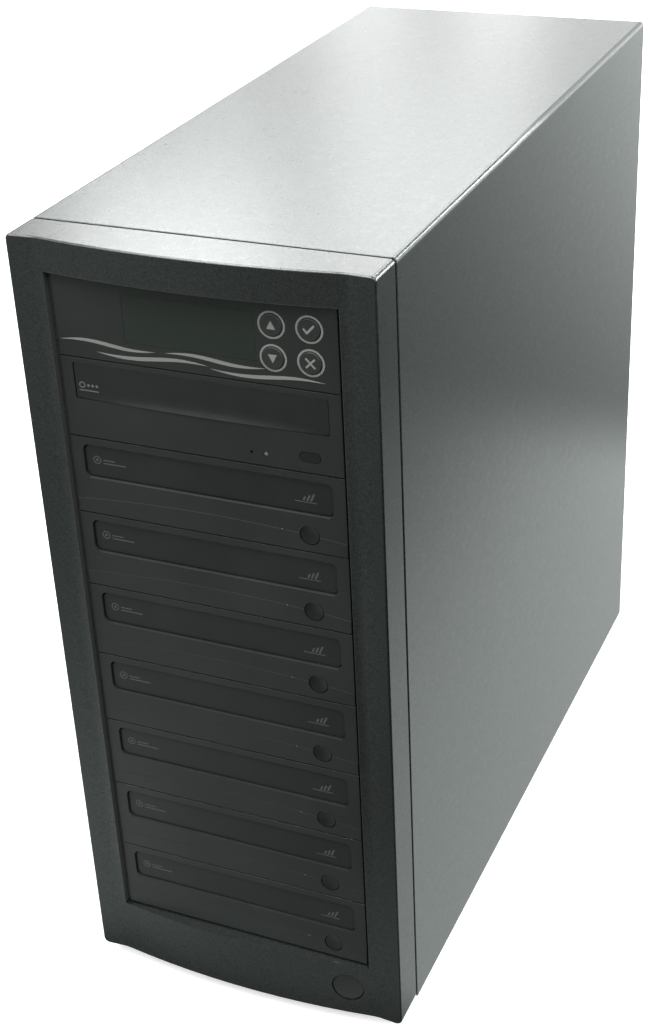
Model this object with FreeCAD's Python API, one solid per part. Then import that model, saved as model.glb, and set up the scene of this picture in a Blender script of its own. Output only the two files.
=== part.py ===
import FreeCAD, Part
import math
import os

# Tower disc duplicator: nine half-height 5.25-inch bays behind a plastic front
# bezel, closed by a folded steel cover. Lengths in millimetres, +Z up, +X to the
# right seen from the front, -Y towards the person using it.
#
# Working coordinates put y = 0 on the seam between bezel and cover and z = 0 on
# the underside of the case. Every piece is moved by (0, -Y_MID, FOOT_H) when it
# is written, so that the origin is at floor level under the middle of the box.

# ---- overall ----------------------------------------------------------------
CASE_W = 186.0          # outside width of bezel and cover
CASE_H = 435.0          # height without the feet
COVER_D = 419.0         # depth of the cover behind the seam
FOOT_H = 8.0
FOOT_X = 66.0
FOOT_Y = (30.0, 390.0)
SKIN = 0.8              # cover sheet
COVER_EASE = 0.5        # rounding of its front edge
SHEET = 1.0             # chassis sheet
Y_FRONT = -29.0         # furthest point of the bowed bezel
HEAD = 2.0              # height of a rear screw head
Y_MID = (COVER_D + HEAD + Y_FRONT) / 2.0
HALF = CASE_W / 2.0

# ---- bays -------------------------------------------------------------------
PITCH = 42.5            # one half-height bay
BAY0 = 35.3             # underside of the lowest bay
N_BAYS = 9
BAY_TOP = BAY0 + N_BAYS * PITCH
FACE_W = 146.0          # drive faceplate
FACE_H = 41.9
FACE_Y = -21.2          # front plane of the faceplates
FACE_WALL = 2.5
APRON = 0.15            # the lower part of a writer's face stands this far forward
APRON_BEVEL = 0.45      # height of the bevel on its arched top edge
APRON_END = 6.6         # that edge above the bay line, at x = +-80 and in the middle
APRON_MID = 10.9
LIP = (0.3, 0.75)       # bevel along the foot of a writer's door slot, depth and height
BROW = 0.9              # clearance over a writer's door
FLARE_X = 63.0          # the foot of the reader's door flares forward as a grip: half length,
FLARE_RISE = 6.5        # height and reach in the middle, running out to nothing at the ends
FLARE_OUT = 1.35
FACE_BACK = -15.2       # where the faceplates meet the drive cases
DRIVE_W = 146.0
DRIVE_H = 41.3
DRIVE_L = 170.0
DRIVE_LIFT = 0.6        # case underside above the bay line
CAGE_IN = 73.2          # inner face of the cage side plates
CAGE_L = 165.0
SCREW_Y = (FACE_BACK + 47.4, FACE_BACK + 126.6)
SCREW_Z = 10.0

# ---- bezel ------------------------------------------------------------------
RAIL_X = 78.0           # inner edge of the side rails
RAIL_Y_OUT = -24.2      # rail surface at the outer corner
RAIL_Y_IN = -23.2       # rail surface at its inner edge
EDGE_R = 1.0            # edges round the front
ROLL_R = 2.4            # upper long edges, as on the cover
TOE_R = 3.6             # lower long edges
BLEND_R = 22.0          # where the rails run into the bowed middle
WALL = 2.5
OPEN_X = 74.9           # half width of the bay opening
STOP_X = 73.5           # half width between the stops inside it
STOP_Y = FACE_Y + 1.2   # front of the stops
SEAM = 2.0              # groove between bezel and cover
SEAM_DEPTH = 1.2

# ---- disc tray --------------------------------------------------------------
DOOR_X = 66.3
DOOR_Z0 = 21.0
DOOR_Z1 = 37.5
DOOR_Y = -20.0
DOOR_T = 2.6
DOOR_R = 3.0
DOOR_GAP = 0.3
TRAY_X = 64.2
TRAY_Z0 = 25.0
TRAY_Z1 = 33.0
TRAY_END = 146.0
DISC_Y = 50.0           # disc centre with the tray shut
DISC_R = 60.5
MINI_R = 40.5

# ---- buttons ----------------------------------------------------------------
EJECT_X = 53.5
EJECT_Z = 9.0
EJECT_R = 5.0
HOLE_X = 39.0           # emergency release hole
HOLE_Z = 9.8
KEY_R = 5.4
KEYS = {"button_up": (40.5, 30.0), "button_enter": (59.1, 30.1),
        "button_down": (40.5, 13.9), "button_escape": (59.1, 13.9)}
POWER_X = 62.5
POWER_Z = 18.8
POWER_R = 8.8
POWER_SINK = 0.4        # cap below the chin's surface
POWER_DISH = 0.9        # depth and radius of the dish in the cap
POWER_DISH_R = 38.0
EJECT_SINK = 0.45        # writer's cap below its faceplate
EJECT_DISH = 0.45
EJECT_DISH_R = 24.0

# ---- rear -------------------------------------------------------------------
REAR_OUT = COVER_D - SKIN            # outer face of the rear panel
REAR_IN = REAR_OUT - SHEET
FLANGE = 12.0
PSU_W, PSU_H, PSU_L = 150.0, 86.0, 140.0
PSU_Z0 = 338.0
PSU_Y0 = REAR_IN - PSU_L
PSU_SCREWS = ((-69.0, 418.0), (69.0, 418.0), (-69.0, 354.0), (69.0, 344.0))
PSU_FAN = (-26.0, 381.0)
CASE_FAN = (0.0, 220.0)
FAN = 80.0
FAN_T = 25.0
FAN_HOLE = 35.75
COVER_SCREWS = [(s * 86.0, z) for s in (-1, 1) for z in (40.0, 217.0, 395.0)]
MOD_X0, MOD_X1 = 20.0, 68.0          # inlet and switch module flange
MOD_Z0, MOD_Z1 = 368.0, 394.0
SOCKET_X = 36.5
SOCKET_Z = 381.0
ROCK_X = 59.5
ROCK_Z = 381.0
ROCK_Y = REAR_OUT - 3.6              # rocker pivot
ROCK_TILT = 8.0

V = FreeCAD.Vector


def box(x0, x1, y0, y1, z0, z1):
    return Part.makeBox(x1 - x0, y1 - y0, z1 - z0, V(x0, y0, z0))


def cyl_y(x, z, r, y0, y1):
    return Part.makeCylinder(r, y1 - y0, V(x, y0, z), V(0, 1, 0))


def cyl_x(y, z, r, x0, x1):
    return Part.makeCylinder(r, x1 - x0, V(x0, y, z), V(1, 0, 0))


def cyl_z(x, y, r, z0, z1):
    return Part.makeCylinder(r, z1 - z0, V(x, y, z0), V(0, 0, 1))


def prism_y(pts, y0, y1):
    """Polygon of (x, z) points carried from y0 to y1."""
    w = Part.makePolygon([V(x, y0, z) for x, z in pts] + [V(pts[0][0], y0, pts[0][1])])
    return Part.Face(w).extrude(V(0, y1 - y0, 0))


def prism_x(pts, x0, x1):
    """Polygon of (y, z) points carried from x0 to x1."""
    w = Part.makePolygon([V(x0, y, z) for y, z in pts] + [V(x0, pts[0][0], pts[0][1])])
    return Part.Face(w).extrude(V(x1 - x0, 0, 0))


def rrect_y(x0, x1, z0, z1, r, y0, y1):
    """Rounded rectangle in x and z carried from y0 to y1."""
    k = r * (1 - math.sqrt(0.5))
    e = []
    P = lambda x, z: V(x, y0, z)
    e.append(Part.LineSegment(P(x0 + r, z0), P(x1 - r, z0)).toShape())
    e.append(Part.Arc(P(x1 - r, z0), P(x1 - k, z0 + k), P(x1, z0 + r)).toShape())
    if z1 - z0 > 2 * r + 1e-6:
        e.append(Part.LineSegment(P(x1, z0 + r), P(x1, z1 - r)).toShape())
    e.append(Part.Arc(P(x1, z1 - r), P(x1 - k, z1 - k), P(x1 - r, z1)).toShape())
    e.append(Part.LineSegment(P(x1 - r, z1), P(x0 + r, z1)).toShape())
    e.append(Part.Arc(P(x0 + r, z1), P(x0 + k, z1 - k), P(x0, z1 - r)).toShape())
    if z1 - z0 > 2 * r + 1e-6:
        e.append(Part.LineSegment(P(x0, z1 - r), P(x0, z0 + r)).toShape())
    e.append(Part.Arc(P(x0, z0 + r), P(x0 + k, z0 + k), P(x0 + r, z0)).toShape())
    return Part.Face(Part.Wire(e)).extrude(V(0, y1 - y0, 0))


def fuse(first, *rest):
    out = first
    if rest:
        out = first.multiFuse(list(rest))
    return out.removeSplitter()


def cut(body, *tools):
    for t in tools:
        body = body.cut(t)
    return body


def cut_all(body, tools):
    return body.cut(Part.makeCompound(list(tools)))


def mirror_x(s):
    return s.mirror(V(0, 0, 0), V(1, 0, 0))


def write(name, shape):
    s = shape.copy()
    s.translate(V(0, -Y_MID, FOOT_H))
    solids = s.Solids
    if len(solids) == 1:
        s = solids[0]
    else:
        s = Part.makeCompound(solids)
    s.exportStep("parts/%s.step" % name)
    print(name, len(solids), round(sum(x.Volume for x in solids) / 1000.0, 2), all(x.isValid() for x in solids))


def bay_z(k):
    """Underside of bay k, counted from 0 at the top."""
    return BAY0 + (N_BAYS - 1 - k) * PITCH


def bow_edges(y_out, y_in, y_mid, x_out, x_in, z):
    """Plan edges of the front: slanting rails and a bowed middle."""
    a = V(-x_out, y_out, z)
    b = V(-x_in, y_in, z)
    m = V(0, y_mid, z)
    c = V(x_in, y_in, z)
    d = V(x_out, y_out, z)
    return [Part.LineSegment(a, b).toShape(), Part.Arc(b, m, c).toShape(), Part.LineSegment(c, d).toShape()]


def bow_solid(y_out, y_in, y_mid, x_out, x_in, y_back, z0, z1):
    e = bow_edges(y_out, y_in, y_mid, x_out, x_in, z0)
    e.append(Part.LineSegment(V(x_out, y_out, z0), V(x_out, y_back, z0)).toShape())
    e.append(Part.LineSegment(V(x_out, y_back, z0), V(-x_out, y_back, z0)).toShape())
    e.append(Part.LineSegment(V(-x_out, y_back, z0), V(-x_out, y_out, z0)).toShape())
    return Part.Face(Part.Wire(e)).extrude(V(0, 0, z1 - z0))


def edges_where(shape, test):
    return [e for e in shape.Edges if test(e)]


def near(a, b, tol=0.02):
    return abs(a - b) < tol


# =============================================================================
# front bezel
# =============================================================================
def make_bezel():
    outer = bow_solid(RAIL_Y_OUT, RAIL_Y_IN, Y_FRONT, HALF, RAIL_X, -SEAM, 0.0, CASE_H)

    def vertical(x, y):
        return lambda e: (near(e.BoundBox.XMin, e.BoundBox.XMax) and near(e.BoundBox.XMin, x)
                          and near(e.BoundBox.YMin, e.BoundBox.YMax) and near(e.BoundBox.YMin, y))
    blend = edges_where(outer, vertical(-RAIL_X, RAIL_Y_IN)) + edges_where(outer, vertical(RAIL_X, RAIL_Y_IN))
    outer = outer.makeFillet(BLEND_R, blend)

    def lengthwise(z):
        return lambda e: (near(e.BoundBox.XMin, e.BoundBox.XMax) and near(abs(e.BoundBox.XMin), HALF)
                          and near(e.BoundBox.ZMin, z) and near(e.BoundBox.ZMax, z))
    outer = outer.makeFillet(ROLL_R, edges_where(outer, lengthwise(CASE_H)))
    outer = outer.makeFillet(TOE_R, edges_where(outer, lengthwise(0.0)))

    def front_outline(e):
        b = e.BoundBox
        inside = near(b.XMin, b.XMax) and abs(b.XMin) < HALF - 0.05
        return b.YMax < RAIL_Y_IN + 0.5 and not inside
    outer = outer.makeFillet(EDGE_R, edges_where(outer, front_outline))

    inner = bow_solid(RAIL_Y_OUT + 3.2, RAIL_Y_IN + WALL, Y_FRONT + WALL, HALF - WALL, RAIL_X,
                      5.0, WALL + 0.6, CASE_H - WALL)
    opening = box(-OPEN_X, OPEN_X, -60, 5, BAY0 - 0.4, BAY_TOP + 0.4)
    collar = box(-OPEN_X - 2.0, OPEN_X + 2.0, -60, -SEAM, BAY0 - 2.6, BAY_TOP + 2.6)
    collar = collar.common(outer)
    stops = [box(s * (STOP_X + OPEN_X + 1.0) / 2 - (OPEN_X + 1.0 - STOP_X) / 2, s * (STOP_X + OPEN_X + 1.0) / 2 + (OPEN_X + 1.0 - STOP_X) / 2,
                 STOP_Y, -SEAM, BAY0 - 1.0, BAY_TOP + 1.0) for s in (-1, 1)]
    d = SEAM_DEPTH
    tongue = box(-HALF + d, HALF - d, -SEAM - 1.0, -0.1, d, CASE_H - d)
    tongue = tongue.cut(box(-HALF + WALL, HALF - WALL, -5, 1, WALL + 0.6, CASE_H - WALL))
    shell = outer.cut(inner).fuse(collar).cut(opening).fuse(stops + [tongue])

    # guide tube of the power button, and snap posts that pass through the front plate
    tube = cyl_y(POWER_X, POWER_Z, POWER_R + 1.9, -23.0, -11.0)
    posts = []
    for s in (-1, 1):
        for z in (70.0, 217.5, 365.0):
            posts.append(box(s * 84 - 3, s * 84 + 3, -21.6, 5.0, z - 5, z + 5))
            posts.append(box(s * 84 - 3 - (1.0 if s < 0 else 0), s * 84 + 3 + (1.0 if s > 0 else 0),
                             SHEET + 0.2, 4.0, z - 5, z + 5))
    shell = shell.fuse([tube] + posts)
    shell = shell.cut(cyl_y(POWER_X, POWER_Z, POWER_R + 0.25, -60, 0))
    # finger notch on the underside, used to pull the bezel off
    shell = shell.cut(box(-18, 18, -12, 0, -1, 1.2))
    return shell.removeSplitter()


# =============================================================================
# steel structure
# =============================================================================
def make_cover():
    o = box(-HALF, HALF, 0, COVER_D, 0, CASE_H)
    top_edges = edges_where(o, lambda e: near(e.BoundBox.ZMin, CASE_H) and near(e.BoundBox.XMin, e.BoundBox.XMax))
    o = o.makeFillet(2.4, top_edges)
    # eased front edge, next to the bezel
    o = o.makeFillet(COVER_EASE, edges_where(o, lambda e: near(e.BoundBox.YMin, 0) and near(e.BoundBox.YMax, 0) and e.BoundBox.ZMax > 1))
    i = box(-HALF + SKIN, HALF - SKIN, -1, COVER_D - SKIN, -1, CASE_H - SKIN)
    in_edges = edges_where(i, lambda e: near(e.BoundBox.ZMin, CASE_H - SKIN) and near(e.BoundBox.XMin, e.BoundBox.XMax))
    i = i.makeFillet(1.6, in_edges)
    back = box(-HALF + FLANGE, HALF - FLANGE, COVER_D - 5, COVER_D + 1, -1, CASE_H - 11)
    c = o.cut(i).cut(back)
    return cut_all(c, [cyl_y(x, z, 2.0, COVER_D - 5, COVER_D + 1) for x, z in COVER_SCREWS])


def make_base_pan():
    x = HALF - SKIN - 0.3
    floor = box(-x, x, SHEET, REAR_IN, 0, SHEET)
    parts = [box(-x, -x + SHEET, SHEET, REAR_IN, 0, 14), box(x - SHEET, x, SHEET, REAR_IN, 0, 14),
             box(-x, x, SHEET, 2 * SHEET, 0, 14), box(-x, x, REAR_IN - SHEET, REAR_IN, 0, 14)]
    pan = fuse(floor, *parts)
    tools = [cyl_z(sx * FOOT_X, y, 3.3, -1, 3) for sx in (-1, 1) for y in FOOT_Y]
    for i in range(9):
        y = 60 + i * 12
        tools.append(box(-45, -5, y, y + 4, -1, 3))
        tools.append(box(5, 45, y, y + 4, -1, 3))
    return cut_all(pan, tools)


def grille(cx, cz, r, y0, y1):
    """Punched ring slots of a fan grille as cutting tools."""
    rings = []
    n = 5
    for i in range(n):
        ro = r - i * (r / (n + 0.4))
        ri = ro - 3.6
        if ri < 2:
            continue
        rings.append(cyl_y(cx, cz, ro, y0, y1).cut(cyl_y(cx, cz, ri, y0 - 1, y1 + 1)))
    spokes = []
    for a in (45, 135):
        b = box(cx - r - 2, cx + r + 2, y0 - 2, y1 + 2, cz - 1.6, cz + 1.6)
        b.rotate(V(cx, 0, cz), V(0, 1, 0), a)
        spokes.append(b)
    t = Part.makeCompound(rings)
    return cut(t, *spokes)


def end_plate(y0, y1):
    """Full-height plate with its top corners rounded to sit inside the cover."""
    x = HALF - SKIN - 0.3
    p = box(-x, x, y0, y1, 0, CASE_H - SKIN - 0.1)
    top = edges_where(p, lambda e: near(e.BoundBox.XMin, e.BoundBox.XMax) and near(e.BoundBox.ZMin, e.BoundBox.ZMax)
                      and e.BoundBox.ZMin > 100)
    return p.makeFillet(2.2, top)


def make_rear_panel():
    p = end_plate(REAR_IN, REAR_OUT)
    win = box(-72, 72, REAR_IN - 1, REAR_OUT + 1, PSU_Z0 + 3, PSU_Z0 + PSU_H - 3)
    for sx, sz in PSU_SCREWS:
        e = 8.0
        x0, x1 = (sx - 20, sx + e) if sx < 0 else (sx - e, sx + 20)
        z0, z1 = (sz - e, sz + 20) if sz > 381 else (sz - 20, sz + e)
        win = win.cut(box(x0, x1, REAR_IN - 2, REAR_OUT + 2, z0, z1))
    tools = [win, grille(CASE_FAN[0], CASE_FAN[1], 38.0, REAR_IN - 1, REAR_OUT + 1)]
    for a in (-1, 1):
        for b in (-1, 1):
            tools.append(cyl_y(CASE_FAN[0] + a * FAN_HOLE, CASE_FAN[1] + b * FAN_HOLE, 1.75, REAR_IN - 1, REAR_OUT + 1))
    tools += [cyl_y(sx, sz, 1.75, REAR_IN - 1, REAR_OUT + 1) for sx, sz in PSU_SCREWS]
    tools += [cyl_y(sx, sz, 1.75, REAR_IN - 1, REAR_OUT + 1) for sx, sz in COVER_SCREWS]
    for i in range(9):
        z = 50 + i * 11
        for s in (-1, 1):
            x0, x1 = sorted((s * 8, s * 66))
            tools.append(rrect_y(x0, x1, z, z + 4.4, 2.2, REAR_IN - 1, REAR_OUT + 1))
    return cut_all(p, tools)


def screw_slots(sign):
    out = []
    for k in range(N_BAYS):
        z = bay_z(k) + DRIVE_LIFT + SCREW_Z
        for y in SCREW_Y:
            x0, x1 = (CAGE_IN - 1, CAGE_IN + 3) if sign > 0 else (-CAGE_IN - 3, -CAGE_IN + 1)
            out.append(cyl_x(y - 3, z, 1.7, x0, x1))
            out.append(cyl_x(y + 3, z, 1.7, x0, x1))
            out.append(box(x0, x1, y - 3, y + 3, z - 1.7, z + 1.7))
    return out


def make_bay_frame():
    plate = end_plate(0, SHEET)
    top = box(-CAGE_IN - SHEET, CAGE_IN + SHEET, 0, CAGE_L, BAY_TOP + 1.0, BAY_TOP + 1.0 + SHEET)
    sides = []
    for s in (-1, 1):
        a, b = sorted((s * CAGE_IN, s * (CAGE_IN + SHEET)))
        sides.append(box(a, b, 0, CAGE_L, SHEET, BAY_TOP + 1.0 + SHEET))
        a, b = sorted((s * CAGE_IN, s * (CAGE_IN + 11)))
        sides.append(box(a, b, CAGE_L - SHEET, CAGE_L, SHEET, BAY_TOP + 1.0 + SHEET))
        a, b = sorted((s * CAGE_IN, s * (CAGE_IN + 10)))
        sides.append(box(a, b, 2 * SHEET, CAGE_L, SHEET, 2 * SHEET))
    frame = fuse(plate, top, *sides)
    tools = [box(-CAGE_IN, CAGE_IN, -1, 3, BAY0 - 0.2, BAY_TOP + 1.0),
             box(-CAGE_IN - 12, CAGE_IN + 12, SHEET, 2 * SHEET, -1, 14.1)]
    for s in (-1, 1):
        tools += screw_slots(s)
        for z in (70.0, 217.5, 365.0):
            tools.append(box(s * 84 - 4.2, s * 84 + 4.2, -1, 3, z - 5.4, z + 5.4))
        # lightening windows between the rows of screws
        for k in range(N_BAYS):
            z = bay_z(k)
            a, b = sorted((s * (CAGE_IN - 1), s * (CAGE_IN + 3)))
            tools.append(box(a, b, 52, 92, z + 6, z + 36))
    tools.append(box(POWER_X - 12, POWER_X - 4, -1, 3, 20, 26))      # switch wires
    return cut_all(frame, tools)


def make_feet():
    out = []
    for sx in (-1, 1):
        for y in FOOT_Y:
            x = sx * FOOT_X
            f = Part.makeCone(10.5, 12.0, FOOT_H, V(x, y, -FOOT_H), V(0, 0, 1))
            f = f.makeFillet(1.2, edges_where(f, lambda e: near(e.BoundBox.ZMin, -FOOT_H) and near(e.BoundBox.ZMax, -FOOT_H)))
            f = f.fuse(cyl_z(x, y, 3.1, -0.5, 3.0)).fuse(Part.makeCone(4.3, 3.0, 1.6, V(x, y, SHEET + 0.1), V(0, 0, 1)))
            out.append(f.removeSplitter())
    return Part.makeCompound(out)


# =============================================================================
# controller
# =============================================================================
def blank_face(z, proud=0.0):
    """Moulded 5.25-inch faceplate: front wall and a rim that meets the case."""
    x = FACE_W / 2
    y = FACE_Y - proud
    f = box(-x, x, y, FACE_BACK, z + 0.3, z + 0.3 + FACE_H)
    long_edges = edges_where(f, lambda e: near(e.BoundBox.YMin, y) and near(e.BoundBox.YMax, y))
    f = f.makeFillet(0.35, long_edges)
    inner = box(-x + 1.8, x - 1.8, FACE_Y + FACE_WALL, 0, z + 2.1, z + 0.3 + FACE_H - 1.8)
    return f.cut(inner)


def make_controller():
    z = bay_z(0)
    face = blank_face(z)
    pocket = box(-36, 32, FACE_Y - 1, FACE_Y + 1.6, z + 11, z + 36)
    through = box(-34, 30, FACE_Y - 1, FACE_Y + 5, z + 13, z + 34)
    face = cut(face, pocket, through)
    for kx, kz in KEYS.values():
        face = face.cut(cyl_y(kx, z + kz, KEY_R + 0.2, FACE_Y - 1, FACE_Y + 5))
    write("controller_faceplate", face)
    write("lcd_window", box(-35.9, 31.9, FACE_Y + 0.1, FACE_Y + 1.6, z + 11.1, z + 35.9))

    for name, (kx, kz) in KEYS.items():
        cap = cyl_y(kx, z + kz, KEY_R, FACE_Y - 0.7, FACE_Y + 3.4)
        cap = cap.makeFillet(0.5, edges_where(cap, lambda e: near(e.BoundBox.YMax, FACE_Y - 0.7)))
        cap = cap.fuse(cyl_y(kx, z + kz, KEY_R + 0.8, FACE_Y + FACE_WALL + 0.1, FACE_Y + 3.4))
        write(name, cap.removeSplitter())

    # display board: glass module in its metal frame, key switches, header
    pcb = box(-66, 68, -13.6, -12.0, z + 3, z + 40)
    lcd = box(-37.5, 33.5, FACE_Y + FACE_WALL + 0.1, -13.6, z + 10.5, z + 36.5)
    glass_step = box(-33, 29, FACE_Y + FACE_WALL, FACE_Y + FACE_WALL + 0.9, z + 14.5, z + 32.5)
    lcd = lcd.cut(glass_step)
    keys = []
    for kx, kz in KEYS.values():
        keys.append(box(kx - 3, kx + 3, -16.4, -13.6, z + kz - 3, z + kz + 3))
        keys.append(cyl_y(kx, z + kz, 1.7, -16.9, -16.4))
    head = box(-20, 20, -12.0, -8.5, z + 3.5, z + 8.5)
    write("lcd_module", fuse(pcb, lcd, head, *keys))

    # steel channel that carries the controller in its bay
    x = DRIVE_W / 2
    zf = z + DRIVE_LIFT
    br = fuse(box(-x, x, FACE_BACK, 120, zf, zf + SHEET),
              box(-x, -x + SHEET, FACE_BACK, 120, zf, z + 40.5),
              box(x - SHEET, x, FACE_BACK, 120, zf, z + 40.5),
              box(-70, -60, -12.0, -10.8, zf, z + 38), box(60, 70, -12.0, -10.8, zf, z + 38),
              *[cyl_z(sx * 62, y, 2.6, zf + 0.5, z + 8) for sx in (-1, 1) for y in (8.0, 104.0)])
    holes = []
    for s in (-1, 1):
        for y in SCREW_Y:
            a, b = sorted((s * (x - 3), s * (x + 1)))
            holes.append(cyl_x(y, zf + SCREW_Z, 1.3, a, b))
    write("controller_bracket", cut_all(br, holes))

    # main board with the drive ports along its rear edge
    zb = z + 8
    board = box(-68, 68, 0, 110, zb, zb + 1.6)
    comps = [box(-18, 14, 40, 72, zb + 1.6, zb + 4.2), box(28, 50, 30, 44, zb + 1.6, zb + 3.2),
             box(-52, -36, 34, 46, zb + 1.6, zb + 3.0), box(-52, -36, 54, 66, zb + 1.6, zb + 3.0),
             box(-20, 20, 2, 8, zb + 1.6, zb + 9.0), box(54, 66, 60, 84, zb + 1.6, zb + 12.0)]
    comps += [cyl_z(36 + 9 * i, 56, 3.2, zb + 1.6, zb + 11.0) for i in range(2)]
    comps += [cyl_z(-60, 20 + 10 * i, 3.2, zb + 1.6, zb + 11.0) for i in range(3)]
    for i in range(8):
        cx = -52 + 14 * i
        comps.append(box(cx - 5.5, cx + 5.5, 102, 112, zb + 1.6, zb + 8.6))
    write("controller_board", fuse(board, *comps))


# =============================================================================
# drives
# =============================================================================
def above_arc(y, x0, x1, z_end, z_mid, z_top):
    """Outline in the plane y: an arc from x0 to x1 below, a straight edge above."""
    xm = (x0 + x1) / 2
    e = [Part.Arc(V(x0, y, z_end), V(xm, y, z_mid), V(x1, y, z_end)).toShape(),
         Part.LineSegment(V(x1, y, z_end), V(x1, y, z_top)).toShape(),
         Part.LineSegment(V(x1, y, z_top), V(x0, y, z_top)).toShape(),
         Part.LineSegment(V(x0, y, z_top), V(x0, y, z_end)).toShape()]
    return Part.Wire(e)


def make_drive_face(z, reader):
    if reader:
        f = blank_face(z)
        # the tray passes through a slot a little larger than its door
        f = f.cut(rrect_y(-DOOR_X - DOOR_GAP, DOOR_X + DOOR_GAP, z + DOOR_Z0 - DOOR_GAP, z + 39.4 + DOOR_GAP, 1.2, FACE_Y - 1, 0))
        f = f.cut(rrect_y(50.5, 61.5, z + 5.7, z + 11.1, 2.69, FACE_Y - 1, 0))
        f = f.cut(cyl_y(33.4, z + 6.6, 1.25, FACE_Y - 1, 0))
        return f.cut(cyl_y(26.0, z + 6.6, 0.7, FACE_Y - 1, 0))
    # the face below an arched edge stands a little forward, with a bevel along the arch
    f = blank_face(z, APRON)
    rise = APRON_BEVEL / APRON
    a = above_arc(FACE_Y - 1 - APRON, -80, 80, z + APRON_END - rise, z + APRON_MID - rise, z + 50)
    b = above_arc(FACE_Y, -80, 80, z + APRON_END + APRON_BEVEL, z + APRON_MID + APRON_BEVEL, z + 50)
    f = f.cut(Part.makeLoft([a, b], True, True))
    g = DOOR_GAP
    f = f.cut(rrect_y(-DOOR_X - g, DOOR_X + g, z + DOOR_Z0 - g, z + DOOR_Z1 + BROW, DOOR_R + g, FACE_Y - 1, 0))
    # bevelled lip along the foot of the slot
    zl = z + DOOR_Z0 - g
    slope = LIP[1] / LIP[0]
    xe = DOOR_X + g - DOOR_R * 0.6
    f = f.cut(prism_x([(FACE_Y - 0.4, zl - LIP[1] - 0.4 * slope), (FACE_Y + LIP[0], zl), (FACE_Y + LIP[0], zl + 0.5),
                       (FACE_Y - 0.4, zl + 0.5)], -xe, xe))
    f = f.cut(cyl_y(EJECT_X, z + EJECT_Z, EJECT_R + 0.25, FACE_Y - 1, 0))
    return f.cut(cyl_y(HOLE_X, z + HOLE_Z, 0.8, FACE_Y - 1, 0))


def door_flare(y_face, zf):
    """Grip along the foot of the reader's door: a hollow-curved swelling, fullest in the middle."""
    wires = []
    for i in range(-4, 5):
        q = 1 - (i / 4.0) ** 2
        h, p, x = 2.2 + (FLARE_RISE - 2.2) * q, 0.06 + (FLARE_OUT - 0.06) * q, FLARE_X * i / 4.0
        y0 = y_face + 0.02
        pts = [V(x, y0, zf + h), V(x, y0 - 0.25 * (p + 0.02), zf + h / 2), V(x, y_face - p, zf)]
        e = [Part.Arc(*pts).toShape(),
             Part.LineSegment(pts[2], V(x, y_face + 0.6, zf)).toShape(),
             Part.LineSegment(V(x, y_face + 0.6, zf), V(x, y_face + 0.6, zf + h)).toShape(),
             Part.LineSegment(V(x, y_face + 0.6, zf + h), pts[0]).toShape()]
        wires.append(Part.Wire(e))
    return Part.makeLoft(wires, True, False)


def make_tray(z, reader):
    top = 39.4 if reader else DOOR_Z1
    r = 1.0 if reader else DOOR_R
    y_face = FACE_Y + 0.4 if reader else DOOR_Y
    door = rrect_y(-DOOR_X, DOOR_X, z + DOOR_Z0, z + top, r, y_face, DOOR_Y + DOOR_T)
    rim = edges_where(door, lambda e: near(e.BoundBox.YMax, y_face) and near(e.BoundBox.YMin, y_face))
    door = door.makeFillet(0.3, rim)
    if reader:
        door = door.fuse(door_flare(y_face, z + DOOR_Z0))
    y0 = DOOR_Y + DOOR_T
    t = box(-TRAY_X, TRAY_X, y0, TRAY_END, z + TRAY_Z0, z + TRAY_Z1)
    back = edges_where(t, lambda e: near(e.BoundBox.YMin, TRAY_END) and near(e.BoundBox.XMin, e.BoundBox.XMax) and not near(e.BoundBox.ZMin, e.BoundBox.ZMax))
    t = t.makeFillet(6.0, back)
    t = t.cut(cyl_z(0, DISC_Y, DISC_R, z + 30.4, z + 40))
    t = t.cut(cyl_z(0, DISC_Y, MINI_R, z + 28.8, z + 40))
    t = t.cut(box(-17, 17, DISC_Y, 122, z, z + 60)).cut(cyl_z(0, DISC_Y, 17, z, z + 60))
    # finger notches at the sides of the disc well
    for s in (-1, 1):
        t = t.cut(cyl_z(s * 48, DISC_Y - 46, 9, z + 27.5, z + 40))
    # loading rack on the underside
    return fuse(door, t, box(-58, -55, 0, 140, z + TRAY_Z0 - 2.4, z + TRAY_Z0))


def make_case(z):
    x = DRIVE_W / 2
    z0, z1 = z + DRIVE_LIFT, z + DRIVE_LIFT + DRIVE_H
    y1 = FACE_BACK + DRIVE_L
    c = box(-x, x, FACE_BACK, y1, z0, z1).cut(box(-x + 0.8, x - 0.8, FACE_BACK - 1, y1 - 0.8, z0 + 0.8, z1 - 0.8))
    tools = [box(-54, -38, y1 - 3, y1 + 1, z0 + 3, z0 + 12), box(24, 52, y1 - 3, y1 + 1, z0 + 3, z0 + 12)]
    for s in (-1, 1):
        for y in SCREW_Y:
            a, b = sorted((s * (x - 3), s * (x + 1)))
            tools.append(cyl_x(y, z0 + SCREW_Z, 1.3, a, b))
    # pressed rings and a stiffening step in the top sheet
    c = cut_all(c, tools)
    c = c.cut(cyl_z(0, DISC_Y, 34, z1 - 0.35, z1 + 1).cut(cyl_z(0, DISC_Y, 30, z1 - 1, z1 + 2)))
    return c


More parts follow.
